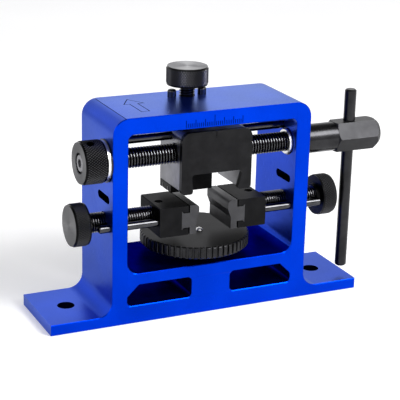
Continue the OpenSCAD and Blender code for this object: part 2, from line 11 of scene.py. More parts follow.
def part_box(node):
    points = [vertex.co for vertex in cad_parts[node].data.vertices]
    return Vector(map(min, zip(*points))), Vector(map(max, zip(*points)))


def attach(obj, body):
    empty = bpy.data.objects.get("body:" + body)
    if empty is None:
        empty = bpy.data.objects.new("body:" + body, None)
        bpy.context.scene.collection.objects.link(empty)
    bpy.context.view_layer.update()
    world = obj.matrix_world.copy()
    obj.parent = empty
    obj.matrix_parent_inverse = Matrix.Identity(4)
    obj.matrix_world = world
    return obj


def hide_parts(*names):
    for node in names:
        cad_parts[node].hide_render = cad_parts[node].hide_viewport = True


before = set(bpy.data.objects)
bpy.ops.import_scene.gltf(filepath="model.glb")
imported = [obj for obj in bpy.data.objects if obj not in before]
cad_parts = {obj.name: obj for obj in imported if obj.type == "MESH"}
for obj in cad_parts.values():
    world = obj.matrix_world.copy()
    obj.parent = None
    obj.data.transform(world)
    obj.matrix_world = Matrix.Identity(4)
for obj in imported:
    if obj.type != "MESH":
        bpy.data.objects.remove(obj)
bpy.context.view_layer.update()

MM = 0.001


# ---- Camera, floor and light ----

CAMERA_AT = Vector((-0.2782, -0.5902, 0.2715))
CAMERA_AIM = Vector((0.0070, 0.0089, 0.0484))
CAMERA_ROLL = math.radians(1.5)
CAMERA_LENS = 123.2


def add_camera():
    data = bpy.data.cameras.new("camera")
    data.lens = CAMERA_LENS
    data.sensor_width = 36
    data.clip_start = 0.05
    data.clip_end = 50
    camera = bpy.data.objects.new("camera", data)
    bpy.context.scene.collection.objects.link(camera)
    camera.location = CAMERA_AT
    camera.rotation_mode = "QUATERNION"
    aim = (CAMERA_AIM - CAMERA_AT).to_track_quat("-Z", "Y")
    camera.rotation_quaternion = aim @ Quaternion((0, 0, 1), CAMERA_ROLL)
    bpy.context.scene.camera = camera


def add_softbox(name, direction, distance, width, height, radiance):
    """Oblong light at a distance from the object, hidden from the camera itself."""
    data = bpy.data.lights.new(name, "AREA")
    data.shape = "RECTANGLE"
    data.size = width
    data.size_y = height
    data.energy = radiance * math.pi * width * height
    light = bpy.data.objects.new(name, data)
    bpy.context.scene.collection.objects.link(light)
    direction = Vector(direction).normalized()
    light.location = direction * distance
    light.rotation_mode = "QUATERNION"
    light.rotation_quaternion = direction.to_track_quat("Z", "Y")
    light.visible_camera = False


def add_studio_world():
    """Pale walls all round at the height of the bench, and a dark ceiling."""
    world = bpy.data.worlds.new("studio")
    world.use_nodes = True
    nodes = world.node_tree.nodes
    links = world.node_tree.links
    where = nodes.new("ShaderNodeTexCoord")
    split = nodes.new("ShaderNodeSeparateXYZ")
    ramp = nodes.new("ShaderNodeValToRGB")
    links.new(where.outputs["Generated"], split.inputs[0])
    links.new(split.outputs["Z"], ramp.inputs["Fac"])
    links.new(ramp.outputs["Color"], nodes["Background"].inputs["Color"])
    ramp.color_ramp.interpolation = "EASE"
    stops = ramp.color_ramp.elements
    for stop, (height, level) in zip(stops, ((0.0, 0.8), (1.0, 0.2))):
        stop.position = height
        stop.color = (*grey(level, 1.02), 1)
    for height, level in ((0.16, 1.1), (0.50, 1.0), (0.72, 0.25)):
        stops.new(height).color = (*grey(level, 1.02), 1)
    bpy.context.scene.world = world


def add_floor():
    mesh = bpy.data.meshes.new("floor")
    edge = bmesh.new()
    bmesh.ops.create_circle(edge, cap_ends=True, radius=6, segments=96)
    edge.to_mesh(mesh)
    edge.free()
    floor = bpy.data.objects.new("floor", mesh)
    bpy.context.scene.collection.objects.link(floor)
    floor.location.z = -0.1 * MM
    mat, tree, shader = new_material("bench_white", {
        "Roughness": 0.7, "Specular IOR Level": 0.2, "Emission Color": (1, 1, 1, 1),
        "Emission Strength": 0.22})
    mottle = noise(tree, 6, 3)
    colour_between(tree, shader, mottle, (0.86, 0.86, 0.86), (0.9, 0.9, 0.9))
    mesh.materials.append(mat)


# ---- Materials ----


def grey(level, tint=1.06):
    """A neutral tone with the slight blue of oxidised steel."""
    return (level, level, level * tint)


def new_material(name, constants):
    """A Principled material with constants on its sockets: (material, node tree, shader)."""
    mat = bpy.data.materials.new(name)
    mat.use_nodes = True
    shader = mat.node_tree.nodes["Principled BSDF"]
    for socket, value in constants.items():
        shader.inputs[socket].default_value = value
    return mat, mat.node_tree, shader


def coordinates(tree, scale=(1, 1, 1), centre=(0, 0, 0)):
    """Object coordinates measured from centre and then scaled along each axis."""
    where = tree.nodes.new("ShaderNodeTexCoord")
    mapping = tree.nodes.new("ShaderNodeMapping")
    mapping.inputs["Scale"].default_value = scale
    mapping.inputs["Location"].default_value = [-c * s for c, s in zip(centre, scale)]
    tree.links.new(where.outputs["Object"], mapping.inputs["Vector"])
    return mapping.outputs["Vector"]


def noise(tree, scale, detail=4, stretch=(1, 1, 1)):
    texture = tree.nodes.new("ShaderNodeTexNoise")
    texture.inputs["Scale"].default_value = scale
    texture.inputs["Detail"].default_value = detail
    tree.links.new(coordinates(tree, stretch), texture.inputs["Vector"])
    return texture.outputs["Fac"]


def tool_rings(tree, centre, axis, spacing):
    """Fine rings about an axis, as a lathe tool leaves them on a faced end."""
    texture = tree.nodes.new("ShaderNodeTexWave")
    texture.wave_type = "RINGS"
    texture.rings_direction = axis
    texture.inputs["Scale"].default_value = 0.314 / spacing
    texture.inputs["Distortion"].default_value = 0.6
    tree.links.new(coordinates(tree, centre=centre), texture.inputs["Vector"])
    return texture.outputs["Fac"]


def colour_between(tree, shader, factor, dark, light, low=0.3, high=0.7):
    ramp = tree.nodes.new("ShaderNodeValToRGB")
    stops = ramp.color_ramp.elements
    stops[0].position = low
    stops[1].position = high
    stops[0].color = (*dark, 1)
    stops[1].color = (*light, 1)
    tree.links.new(factor, ramp.inputs["Fac"])
    tree.links.new(ramp.outputs["Color"], shader.inputs["Base Color"])


def roughness_between(tree, shader, factor, smooth, rough):
    spread = tree.nodes.new("ShaderNodeMapRange")
    spread.inputs["From Min"].default_value = 0.3
    spread.inputs["From Max"].default_value = 0.7
    spread.inputs["To Min"].default_value = smooth
    spread.inputs["To Max"].default_value = rough
    tree.links.new(factor, spread.inputs["Value"])
    tree.links.new(spread.outputs["Result"], shader.inputs["Roughness"])


def bumped(tree, shader, height, strength, depth):
    bump = tree.nodes.new("ShaderNodeBump")
    bump.inputs["Strength"].default_value = strength
    bump.inputs["Distance"].default_value = depth
    tree.links.new(height, bump.inputs["Height"])
    tree.links.new(bump.outputs["Normal"], shader.inputs["Normal"])


def blue_anodised():
    """Dyed aluminium with a fine satin grain that runs up the extrusion."""
    mat, tree, shader = new_material("blue_anodised", {
        "Metallic": 1.0, "Specular Tint": (0.85, 1.0, 1.0, 1)})
    cloud = noise(tree, 35, 3)
    grain = noise(tree, 2600, 3, (1, 1, 0.12))
    colour_between(tree, shader, cloud, (0.0, 0.026, 0.42), (0.0, 0.035, 0.54))
    roughness_between(tree, shader, grain, 0.27, 0.38)
    bumped(tree, shader, grain, 0.12, 0.02 * MM)
    return mat


def steel(name, dark, light, smooth, rough, grain_scale, bump, stretch=(1, 1, 1), edge=1.0):
    """Steel whose finish varies between two tones and two roughnesses, over a fine grain."""
    mat, tree, shader = new_material(name, {
        "Metallic": 1.0, "Specular Tint": (edge, edge, edge, 1)})
    patches = noise(tree, 180, 4)
    grain = noise(tree, grain_scale, 3, stretch)
    colour_between(tree, shader, patches, dark, light)
    roughness_between(tree, shader, grain, smooth, rough)
    bumped(tree, shader, grain, bump, 0.02 * MM)
    return mat


def turned_steel(name, centre, axis, dark, light, smooth, rough):
    """Steel faced on a lathe: fine rings about its axis, which draw the light into a fan."""
    mat, tree, shader = new_material(name, {"Metallic": 1.0, "Anisotropic": 0.75})
    rings = tool_rings(tree, centre, axis, 0.35 * MM)
    patches = noise(tree, 260, 4)
    colour_between(tree, shader, patches, dark, light)
    roughness_between(tree, shader, patches, smooth, rough)
    bumped(tree, shader, rings, 0.10, 0.01 * MM)
    tangent = tree.nodes.new("ShaderNodeTangent")
    tangent.direction_type = "RADIAL"
    tangent.axis = axis
    tree.links.new(tangent.outputs["Tangent"], shader.inputs["Tangent"])
    return mat


def shade_sheen_and_wear_by_height(name, centre, axis, root, crest, smooth, rough, crest_sheen_and_wear=0.085):
    """Blackened knurl or thread, darker toward its roots as painted shade and lighter toward its
    crests as wear together with a painted highlight; its roughness follows a fine grain.
    """
    mat, tree, shader = new_material(name, {"Metallic": 1.0})
    across = (0, 1, 1) if axis == "X" else (1, 1, 0)
    length = tree.nodes.new("ShaderNodeVectorMath")
    length.operation = "LENGTH"
    tree.links.new(coordinates(tree, across, centre), length.inputs[0])
    height = tree.nodes.new("ShaderNodeMapRange")
    height.inputs["From Min"].default_value = root
    height.inputs["From Max"].default_value = crest
    tree.links.new(length.outputs["Value"], height.inputs["Value"])
    # Painted shade in the roots; the crest tone is wear together with a painted highlight.
    colour_between(tree, shader, height.outputs["Result"], grey(0.006), grey(crest_sheen_and_wear), 0.15, 1.0)
    roughness_between(tree, shader, noise(tree, 3200, 3), smooth, rough)
    return mat


def screw_shade_sheen_wear(node, major, pitch):
    """Painted root shade, with crest wear and a painted highlight, for one screw along X, from its
    major radius and pitch.
    """
    root = major - THREAD_DEPTH * pitch
    return shade_sheen_and_wear_by_height(node + "_root_shade_crest_sheen_wear", middle(node), "X", root, major, 0.18, 0.26, 0.16)


def knurled_black(node, axis):
    """Painted groove shade, with crest wear and a painted highlight, for one knob, from the radius
    of its grooves to its crests.
    """
    low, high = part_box(node)
    crest = (high.y - low.y) / 2
    return shade_sheen_and_wear_by_height(node + "_knurl", middle(node), axis, crest - KNURL_DEPTH, crest,
                       0.24, 0.34, 0.12)


def paint(node, mat):
    """Gives a CAD node one material."""
    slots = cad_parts[node].material_slots
    for held in slots:
        held.material = mat


# ---- Mesh building ----

THREAD_DEPTH = 0.6134  # of a 60 degree thread, in pitches
KNURL_SLOPE = 1.4
KNURL_DEPTH = 0.42 * MM

def along_x(axis):
    """Turns (angle, radius, position) into a point about the X line through axis."""
    def place(angle, radius, position):
        return (position, axis.y + radius * math.cos(angle), axis.z + radius * math.sin(angle))
    return place


def along_z(axis):
    """Turns (angle, radius, position) into a point about the Z line through axis."""
    def place(angle, radius, position):
        return (axis.x + radius * math.cos(angle), axis.y + radius * math.sin(angle), position)
    return place


def plain_ring(radius, position):
    """The same radius and position all the way round."""
    return lambda angle: (radius, position)


class Turning:
    """A solid built from rings of points about an axis, joined one ring to the next."""

    def __init__(self, place, columns):
        self.place = place
        self.columns = columns
        self.mesh = bmesh.new()
        self.last = None
        self.finish = 0

    def angle(self, column):
        return 2 * math.pi * column / self.columns

    def point(self, column, radius, position):
        return self.mesh.verts.new(self.place(self.angle(column), radius, position))

    def face(self, corners, finish=None):
        made = self.mesh.faces.new(corners)
        made.material_index = self.finish if finish is None else finish
        return made

    def join(self, ring):
        """Walls between the last ring and this one, or an end cap if there is none yet."""
        if self.last is None:
            self.face(ring)
        else:
            for a in range(self.columns):
                b = (a + 1) % self.columns
                self.face((self.last[a], self.last[b], ring[b], ring[a]))
        self.last = ring

    def ring(self, shape):
        """Adds a ring whose radius and position at each angle come from shape(angle)."""
        made = [self.point(c, *shape(self.angle(c))) for c in range(self.columns)]
        self.join(made)

    def outline(self, points):
        """Adds a plain ring for each (radius, position)."""
        for radius, position in points:
            self.ring(plain_ring(radius, position))

    def thread(self, start, end, major, pitch):
        """Right-hand 60 degree thread from start to end, which rise along the axis."""
        crest = ((0.0, 0.90), (0.03, 1.0), (0.10, 1.0), (0.13, 0.90), (0.46, 0.0), (0.67, 0.0))
        depth = THREAD_DEPTH * pitch
        root = major - depth

        def radius_at(angle, position):
            phase = ((position - start) / pitch - angle / (2 * math.pi)) % 1.0
            wrapped = [*crest, (1.0, crest[0][1])]
            for (p, f), (q, g) in zip(wrapped, wrapped[1:]):
                if p <= phase <= q:
                    level = f + (g - f) * (phase - p) / (q - p)
            lead_in = min(position - start, end - position)
            return min(root + depth * level, root + lead_in + 0.05 * MM)

        steps = len(crest)
        rows = (math.ceil((end - start) / pitch) + 1) * steps
        grid = []
        for row in range(rows + 1):
            base = start + (row // steps - 1 + crest[row % steps][0]) * pitch
            line = []
            for column in range(self.columns):
                position = min(max(base + pitch * column / self.columns, start), end)
                radius = radius_at(self.angle(column), position)
                line.append(self.point(column, radius, position))
            grid.append(line)
        self.join(grid[0])
        for row in range(rows):
            for column in range(self.columns - 1):
                self.face((grid[row][column], grid[row][column + 1],
                           grid[row + 1][column + 1], grid[row + 1][column]))
            if row + steps < rows:
                self.face((grid[row][-1], grid[row + steps][0],
                           grid[row + steps + 1][0], grid[row + 1][-1]))
        self.last = grid[-1]

    def knurl(self, start, end, crest, depth):
        """Diamond knurl between two positions: a checker of peaks and valley crossings."""
        around = 2 * math.pi * crest / self.columns
        rows = 2 * max(1, round(abs(end - start) / (2 * KNURL_SLOPE * around)))
        grid = []
        for row in range(rows + 1):
            position = start + (end - start) * row / rows
            inside = 0 < row < rows
            line = []
            for column in range(self.columns):
                peak = inside and (row + column) % 2
                line.append(self.point(column, crest if peak else crest - depth, position))
            grid.append(line)
        self.join(grid[0])
        for row in range(rows):
            for a in range(self.columns):
                b = (a + 1) % self.columns
                p, q, r, s = grid[row][a], grid[row][b], grid[row + 1][b], grid[row + 1][a]
                if (row + a) % 2:
                    self.face((p, q, s))
                    self.face((q, r, s))
                else:
                    self.face((p, q, r))
                    self.face((p, r, s))
        self.last = grid[-1]

    def done(self, name, smooth_below):
        """Caps the last ring and returns the object, smooth where its faces meet gently."""
        self.face(self.last)
        return finished(name, self.mesh, smooth_below)


def finished(name, work, smooth_below):
    """Turns a bmesh into an object, without doubled points or empty faces."""
    bmesh.ops.remove_doubles(work, verts=work.verts, dist=0.0005 * MM)
    bmesh.ops.dissolve_degenerate(work, edges=work.edges, dist=0.0005 * MM)
    bmesh.ops.recalc_face_normals(work, faces=work.faces)
    mesh = bpy.data.meshes.new(name)
    work.to_mesh(mesh)
    work.free()
    mesh.shade_smooth()
    mesh.set_sharp_from_angle(angle=math.radians(smooth_below))
    made = bpy.data.objects.new(name, mesh)
    bpy.context.scene.collection.objects.link(made)
    return made


def drilled(piece, radius, start, end):
    """Cuts a round hole through piece from one point to another."""
    cutter_mesh = bmesh.new()
    run = end - start
    place = Matrix.Translation((start + end) / 2) @ run.to_track_quat("Z", "Y").to_matrix().to_4x4()
    bmesh.ops.create_cone(cutter_mesh, cap_ends=True, segments=48, radius1=radius, radius2=radius,
                          depth=run.length, matrix=place)
    return cut_away(piece, finished("cutter", cutter_mesh, 40))


def cut_away(piece, cutter):
    """Subtracts cutter from piece; the cut faces keep the cutter's own material."""
    cut = piece.modifiers.new("cut", "BOOLEAN")
    cut.operation = "DIFFERENCE"
    cut.solver = "EXACT"
    cut.material_mode = "TRANSFER"
    cut.object = cutter
    bpy.context.view_layer.update()
    graph = bpy.context.evaluated_depsgraph_get()
    mesh = bpy.data.meshes.new_from_object(piece.evaluated_get(graph))
    piece.modifiers.clear()
    piece.data = mesh
    mesh.shade_smooth()
    mesh.set_sharp_from_angle(angle=math.radians(30))
    bpy.data.objects.remove(cutter)
    return piece


def stands_for(piece, node, body, slot, *materials):
    """The piece rides on a body in place of a CAD node, and wears these materials."""
    finishes = [face.material_index for face in piece.data.polygons]
    piece.data.materials.clear()
    for mat in materials:
        piece.data.materials.append(mat)
    piece.data.polygons.foreach_set("material_index", finishes)
    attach(piece, body)
    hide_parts(node)


def middle(node):
    low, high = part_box(node)
    return (low + high) / 2


# ---- Frame ----

EDGE_BREAK = 0.35 * MM
CORNER_STEPS = 8


def flat_points(*points):
    """Points given in millimetres, as vectors in metres."""
    return [Vector(p) * MM for p in points]


def moved_corner(before, corner, after, inset):
    """The corner of an anticlockwise outline once its sides move inward by inset."""
    first = (corner - before).normalized()
    second = (after - corner).normalized()
    first = Vector((-first.y, first.x))
    second = Vector((-second.y, second.x))
    return corner + inset * (first + second) / (1 + first.dot(second))


def rounded_corner(before, corner, after, radius):
    """Arc of a radius in the corner between two neighbours."""
    u = (before - corner).normalized()
    v = (after - corner).normalized()
    half = u.angle(v) / 2
    centre = corner + (u + v).normalized() * radius / math.sin(half)
    start = corner + u * radius / math.tan(half) - centre
    end = corner + v * radius / math.tan(half) - centre
    turn = math.atan2(start.x * end.y - start.y * end.x, start.dot(end))
    return [centre + Matrix.Rotation(turn * k / CORNER_STEPS, 2) @ start
            for k in range(CORNER_STEPS + 1)]


def outline(corners, radii, inset=0.0):
    """Anticlockwise outline with rounded corners, moved inward by inset."""
    count = len(corners)
    around = [(corners[i - 1], corners[i], corners[(i + 1) % count]) for i in range(count)]
    moved = [moved_corner(a, b, c, inset) for a, b, c in around]
    points = []
    for i, (a, b, c) in enumerate(around):
        if radii[i] == 0:
            points.append(moved[i])
            continue
        bend = (b - a).cross(c - b)
        radius = radii[i] * MM - math.copysign(inset, bend)
        points += rounded_corner(moved[i - 1], moved[i], moved[(i + 1) % count], radius)
    return points


def loft(work, rings, closed=False):
    """Joins rings of equal length into a solid, capped at both ends or closed into a loop."""
    made = [[work.verts.new(p) for p in ring] for ring in rings]
    pairs = list(zip(made, made[1:]))
    if closed:
        pairs.append((made[-1], made[0]))
    else:
        work.faces.new(made[0])
        work.faces.new(made[-1])
    for low, high in pairs:
        for i in range(len(low)):
            j = (i + 1) % len(low)
            work.faces.new((low[i], low[j], high[j], high[i]))


def slab(work, corners, radii, half_depth, inset, reach):
    """Prism along Y whose ends, over the last reach, move inward by inset."""
    rings = []
    for y, moved in ((-half_depth, inset), (reach - half_depth, 0), (half_depth - reach, 0),
                     (half_depth, inset)):
        rings.append([Vector((p.x, y, p.y)) for p in outline(corners, radii, moved)])
    loft(work, rings)


def bore(work, axis, radius, low, high, centre):
    """Round cutter along X or Z between two positions, through a centre given in metres."""
    turned = Matrix.Rotation(math.pi / 2, 4, "Y") if axis == "X" else Matrix.Identity(4)
    at = centre.copy()
    at["XYZ".index(axis)] = (low + high) / 2 * MM
    bmesh.ops.create_cone(work, cap_ends=True, segments=56, radius1=radius * MM,
                          radius2=radius * MM, depth=(high - low) * MM,
                          matrix=Matrix.Translation(at) @ turned)


def block(work, low, high):
    """Box cutter between two corners in millimetres."""
    low, high = Vector(low) * MM, Vector(high) * MM
    bmesh.ops.create_cube(work, size=1, matrix=Matrix.Translation((low + high) / 2)
                          @ Matrix.Diagonal((*(high - low), 1)))


def arrow(inset):
    """Plain arrow along +Y, drawn inset from its outline."""
    shaft, head, tail, neck, tip = 2.3, 5.6, -11.6, 3.2, 12.6
    corners = flat_points((-shaft, tail), (shaft, tail), (shaft, neck), (head, neck), (0, tip),
                          (-head, neck), (-shaft, neck))
    return outline(corners, [0] * len(corners), inset)


def engraving(work, front, top):
    """Scale on the front of the beam, and the line and arrow on its top."""
    width, depth = 0.34, 0.3
    scale_low, scale_zero, reach = top - 7.4, -0.5, 15
    for i in range(-reach, reach + 1):
        height = 5.3 if i == 0 else 3.7 if i % 5 == 0 else 2.1
        x = i + scale_zero - width / 2
        block(work, (x, front - 1, scale_low), (x + width, front + depth, scale_low + height))
    line_x = -46.2
    block(work, (line_x - width / 2, front - 1, top - 1.5 * depth),
          (line_x + width / 2, 1 - front, top + 1))
    arrow_x, stroke = -32.4, 0.45
    rings = []
    for z, inset in ((top - depth, 0), (top + 1, 0), (top + 1, stroke), (top - depth, stroke)):
        rings.append([Vector((p.x + arrow_x * MM, p.y, z * MM)) for p in arrow(inset * MM)])
    loft(work, rings, closed=True)


# Front view of the frame, as half widths and heights in millimetres
FOOT_TOP = 5.5
WALL_OUTSIDE = 52.7
PORTAL_RADIUS = 8
FOOT_FILLET = 7.5
WINDOW_HALF = 44.9
WINDOW_LOW = 25.7
WINDOW_TOP = 95.7
WINDOW_RADII = (6, 6, 2.8, 2.8)
SLOT_CORNERS = ((10.5, 9.2), (44.8, 9.2), (44.8, 14), (38.8, 19.8), (10.5, 19.8))
SLOT_RADII = (2.2, 2.2, 1.5, 1.5, 2.2)
SLOT_OUTSIDE = 45

# Holes, and the stretch in millimetres that a cutter takes through a wall, the beam or a foot
FOOT_HOLE_X = 69
THROUGH_WALL = (43, 54)
THROUGH_BEAM = (94, 105)
THROUGH_FOOT = (-1, 7)
GUIDE_ROD_END = 49.9
WALL_SLOT_CORNERS = ((-16.5, 60.8), (-1.5, 60.8), (-1.5, 64.8), (-16.5, 64.8))
WALL_SLOT_RADIUS = 1.99


def frame_body(work, end, top, half_depth):
    """Outline of the feet and the portal, with its edges broken front and back."""
    corners = flat_points((-end, 0), (end, 0), (end, FOOT_TOP), (WALL_OUTSIDE, FOOT_TOP),
                          (WALL_OUTSIDE, top), (-WALL_OUTSIDE, top), (-WALL_OUTSIDE, FOOT_TOP),
                          (-end, FOOT_TOP))
    radii = [0, 0, 0, FOOT_FILLET, PORTAL_RADIUS, PORTAL_RADIUS, FOOT_FILLET, 0]
    slab(work, corners, radii, half_depth, EDGE_BREAK, EDGE_BREAK)


def frame_openings(work, half_depth):
    """The window and the two beam slots, which widen over the broken edges."""
    window = flat_points((-WINDOW_HALF, WINDOW_LOW), (WINDOW_HALF, WINDOW_LOW),
                         (WINDOW_HALF, WINDOW_TOP), (-WINDOW_HALF, WINDOW_TOP))
    slot = flat_points(*SLOT_CORNERS)
    flipped = [Vector((-p.x, p.y)) for p in reversed(slot)]
    over = 1 * MM
    for corners, radii in ((window, WINDOW_RADII), (slot, SLOT_RADII),
                           (flipped, SLOT_RADII[::-1])):
        slab(work, corners, radii, half_depth + over, -EDGE_BREAK - over, EDGE_BREAK + over)


def frame_bores(work):
    """Holes for the feet's screws and for every rod, screw and bush that the frame carries."""
    for side, node in ((-1, "left"), (1, "right")):
        through = sorted(side * x for x in THROUGH_WALL)
        bore(work, "Z", 4.3, *THROUGH_FOOT, Vector((side * FOOT_HOLE_X * MM, 0, 0)))
        bore(work, "Z", 2.25, *THROUGH_BEAM, middle("hold_down_pin_" + node))
        bore(work, "X", 5.05, *through, middle(node + "_thumbscrew"))
        bore(work, "X", 2.05, *through, middle(node + "_guide_rod"))
        slot = outline(flat_points(*WALL_SLOT_CORNERS), [WALL_SLOT_RADIUS] * 4)
        loft(work, [[Vector((x * MM, p.x, p.y)) for p in slot] for x in through])
    left = sorted(-x for x in THROUGH_WALL)
    bore(work, "Z", 4.05, *THROUGH_BEAM, middle("top_screw"))
    bore(work, "Z", 6.05, -1, WINDOW_LOW + 1, middle("height_disk"))
    bore(work, "X", 6, *left, middle("flange_bush"))
    bore(work, "X", 7, *THROUGH_WALL, middle("right_bush"))
    bore(work, "X", 2, *left, middle("upper_guide_rod"))
    bore(work, "X", 2, THROUGH_WALL[0], GUIDE_ROD_END, middle("upper_guide_rod"))


def shade_hollows(piece):
    """Gives the floor of the window and the insides of the beam slots the third material, a darker
    blue painted in as their shade.
    """
    slot_low, slot_top, sill_top = 9, 20, 30
    for face in piece.data.polygons:
        height = face.center.z / MM
        in_slot = (slot_low < height < slot_top and abs(face.center.x) < SLOT_OUTSIDE * MM
                   and abs(face.normal.y) < 0.5)
        on_sill = slot_top < height < sill_top and face.normal.z > 0.6
        # Painted shade: these faces take the darker blue third material.
        if face.material_index == 0 and (in_slot or on_sill):
            face.material_index = 2


def build_frame(anodised, bore_shade, shaded):
    """Extruded portal with broken edges, then its openings, bores and engraving."""
    low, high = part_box("frame")
    body, openings, bores = bmesh.new(), bmesh.new(), bmesh.new()
    frame_body(body, high.x / MM, high.z / MM, high.y)
    piece = finished("frame_milled", body, 30)
    piece.data.materials.append(anodised)
    frame_openings(openings, high.y)
    cutter = finished("openings", openings, 30)
    cutter.data.materials.append(anodised)
    cut_away(piece, cutter)
    frame_bores(bores)
    engraving(bores, low.y / MM, high.z / MM)
    cutter = finished("bores", bores, 30)
    # Painted shade: the walls of the bores and wall slots take a near-black blue; the engraved
    # scale, line and arrow take it too.
    cutter.data.materials.append(bore_shade)
    cut_away(piece, cutter)
    shade_hollows(piece)
    stands_for(piece, "frame", "frame", "blue_anodised", anodised, bore_shade, shaded)


# ---- Screws ----

SCREW_COLUMNS = 48
LEAD_THREAD = (4.97 * MM, 1.5 * MM)  # major radius and pitch
THUMB_THREAD = (4.97 * MM, 1.25 * MM)
TOP_THREAD = (3.97 * MM, 1.25 * MM)
STUD_THREAD = (5.97 * MM, 1.75 * MM)


def build_lead_screw(threaded, matte, black):
    """Threaded rod with a journal at the left, a round collar, and a drive hexagon."""
    low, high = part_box("lead_screw")
    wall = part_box("right_bush")[1].x
    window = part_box("stop_ring")[1].x
    flat = (high.z - low.z) / 2
    corner = flat / math.cos(math.pi / 6)
    collar_r = 7.4 * MM
    collar_end = 71.2 * MM
    collar_start = wall + 0.1 * MM
    tip = 1.0 * MM
    lead = 3.0 * MM

    def hexagon(angle):
        around = (angle + math.pi / 6 - math.pi / 2) % (math.pi / 3) - math.pi / 6
        return flat / math.cos(around)

    def cone_near(angle):
        return hexagon(angle), collar_end + 0.8 * MM * (hexagon(angle) - flat) / (corner - flat)

    def cone_far(angle):
        run = lead * (hexagon(angle) - flat + tip) / (corner - flat + tip)
        return hexagon(angle), high.x - run

    screw = Turning(along_x(middle("lead_screw")), SCREW_COLUMNS)
    screw.outline([(3.5 * MM, low.x), (4.0 * MM, low.x + 0.5 * MM), (4.0 * MM, -window)])
    screw.thread(-window, window + 1 * MM, *LEAD_THREAD)
    screw.finish = 2
    screw.outline([(4.0 * MM, collar_start), (collar_r - 0.4 * MM, collar_start),
                   (collar_r, collar_start + 0.4 * MM), (collar_r, collar_end)])
    screw.finish = 1
    screw.ring(plain_ring(flat, collar_end))
    screw.ring(cone_near)
    screw.ring(cone_far)
    screw.ring(plain_ring(flat - tip, high.x))
    piece = screw.done("lead_screw_turned", 30)
    bar = middle("tommy_bar")
    drilled(piece, 3.05 * MM, Vector((bar.x, bar.y, low.z - 5 * MM)),
            Vector((bar.x, bar.y, high.z + 5 * MM)))
    stands_for(piece, "lead_screw", "lead_screw", "black_thread", threaded, matte, black)


def build_thumbscrew(side, mat):
    """Thumbscrew; its groove and end sit inside the jaw, and its head end inside the knob."""
    name = side + "_thumbscrew"
    low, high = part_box(name)
    jaw_low, jaw_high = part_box(side + "_jaw")
    r, pitch = THUMB_THREAD
    in_knob = 5 * MM
    in_jaw = 1.6 * MM
    end_and_groove = [(4.2 * MM, 0), (r, 0.8 * MM), (r, 1.0 * MM), (4.0 * MM, 1.0 * MM),
                      (4.0 * MM, 5.4 * MM), (r, 5.4 * MM)]
    screw = Turning(along_x(middle(name)), SCREW_COLUMNS)
    if side == "left":
        screw.outline([(r, low.x), (r, low.x + in_knob)])
        screw.thread(low.x + in_knob, jaw_low.x + in_jaw, r, pitch)
        screw.outline([(radius, high.x - back) for radius, back in reversed(end_and_groove)])
    else:
        screw.outline([(radius, low.x + back) for radius, back in end_and_groove])
        screw.thread(jaw_high.x - in_jaw, high.x - in_knob, r, pitch)
        screw.outline([(r, high.x - in_knob), (r, high.x)])
    piece = screw.done(name + "_turned", 30)
    stands_for(piece, name, name, "black_thread", mat)


def build_top_screw(mat):
    """Hold-down screw: clip groove and neck below, then thread up to the knob."""
    low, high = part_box("top_screw")
    neck = 2.5 * MM
    major, pitch = TOP_THREAD
    groove_low = low.z + 1.2 * MM
    groove_top = groove_low + 0.8 * MM
    thread_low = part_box("hold_down_plate")[1].z + 0.1 * MM
    thread_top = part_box("top_knob")[0].z
    screw = Turning(along_z(middle("top_screw")), 40)
    screw.outline([(neck - 0.3 * MM, low.z), (neck, low.z + 0.3 * MM), (neck, groove_low),
                   (1.9 * MM, groove_low), (1.9 * MM, groove_top), (neck, groove_top),
                   (neck, thread_low)])
    screw.thread(thread_low, thread_top, major, pitch)
    screw.outline([(major, thread_top + 0.4 * MM), (major, high.z)])
    piece = screw.done("top_screw_turned", 30)
    stands_for(piece, "top_screw", "top_screw", "polished_black", mat)


def build_height_stud(mat):
    """Fixed thread under the height disk, with a plain neck that the disk closes round."""
    low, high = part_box("height_stud")
    disk_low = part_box("height_disk")[0].z
    step = disk_low + 4 * MM
    stud = Turning(along_z(middle("height_stud")), SCREW_COLUMNS)
    stud.outline([(4.8 * MM, low.z)])
    stud.thread(low.z, step, *STUD_THREAD)
    stud.outline([(3.0 * MM, step), (3.0 * MM, high.z)])
    piece = stud.done("height_stud_turned", 30)
    stands_for(piece, "height_stud", "height_carrier", "black_thread", mat)


# ---- Knobs and disk ----

KNOB_COLUMNS = 104
FACE_CHAMFER = 0.6 * MM
BACK_CHAMFER = 0.35 * MM
SOCKET_DEPTH = 4.9 * MM


def knurled_rim(knob, start, end, radius):
    """Chamfer, knurl and smaller chamfer, from the faced rim to the back one."""
    toward = math.copysign(1, end - start)
    knob.outline([(radius - FACE_CHAMFER, start)])
    knob.knurl(start + toward * FACE_CHAMFER, end - toward * BACK_CHAMFER, radius, KNURL_DEPTH)
    knob.outline([(radius - BACK_CHAMFER, end)])


def build_thumb_knob(side, knurled, faced):
    """Knob on a thumbscrew's outer end, with a short hub toward the wall."""
    thickness = 7.8 * MM
    hub = 1.6 * MM
    name = side + "_thumb_knob"
    low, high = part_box(name)
    out = -1 if side == "left" else 1
    face = low.x if side == "left" else high.x
    inner = face - out * thickness
    radius = (high.z - low.z) / 2
    knob = Turning(along_x(middle(name)), KNOB_COLUMNS)
    knob.finish = 1
    knob.outline([(radius - FACE_CHAMFER - 0.4 * MM, face)])
    knob.finish = 0
    knurled_rim(knob, face, inner, radius)
    hub_end = inner - out * hub
    knob.outline([(6.2 * MM, inner), (5.8 * MM, hub_end), (5.0 * MM, hub_end),
                  (5.0 * MM, inner + out * SOCKET_DEPTH)])
    piece = knob.done(name + "_knurled", 25)
    stands_for(piece, name, side + "_thumbscrew", "knurled_black", knurled, faced)


